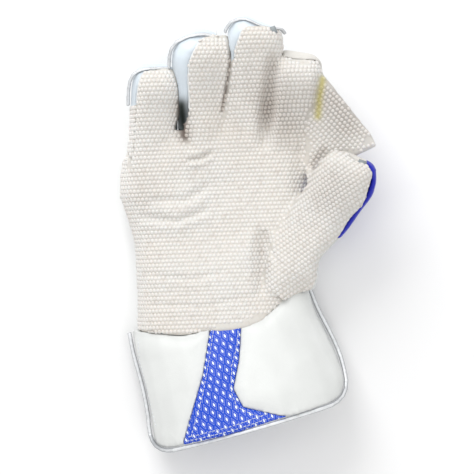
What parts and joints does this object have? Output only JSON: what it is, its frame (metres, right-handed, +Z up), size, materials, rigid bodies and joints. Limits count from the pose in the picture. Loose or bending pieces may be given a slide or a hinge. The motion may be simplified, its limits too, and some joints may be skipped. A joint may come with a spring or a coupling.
{
  "type": "wicketkeeping glove",
  "caption": "Padded wicketkeeping glove for a right hand, palm up, with a pimpled rubber palm, catching web and flared leather cuff.",
  "frame": {"origin": "on the floor under the middle of the glove's bounding box", "axes": "+Y towards the fingertips, +X towards the thumb, +Z up out of the palm"},
  "size_m": [0.1822, 0.3166, 0.08],
  "materials": {
    "pimpled_rubber": "matt, moulded in rows of small pimples",
    "white_leather": "soft satin, faintly wrinkled",
    "side_leather": "bluish white satin",
    "blue_leather": "royal blue satin",
    "printed_leather": "blue with a small white diamond lattice",
    "silver_piping": "silvery coated piping"
  },
  "bodies": {
    "root": {"palm_facing": "pimpled_rubber", "thumb_facing": "pimpled_rubber", "web_facing": "pimpled_rubber", "web_back": "white_leather", "hand_back": "white_leather", "thumb_back": "blue_leather", "little_back": "side_leather", "ring_back": "side_leather", "middle_back": "side_leather", "index_back": "side_leather", "little_piping": "silver_piping", "ring_piping": "silver_piping", "middle_piping": "silver_piping", "cuff_left_panel": "white_leather", "cuff_right_panel": "white_leather", "cuff_stripe": "printed_leather", "cuff_back": "white_leather", "cuff_piping": "silver_piping"}
  },
  "joints": []
}
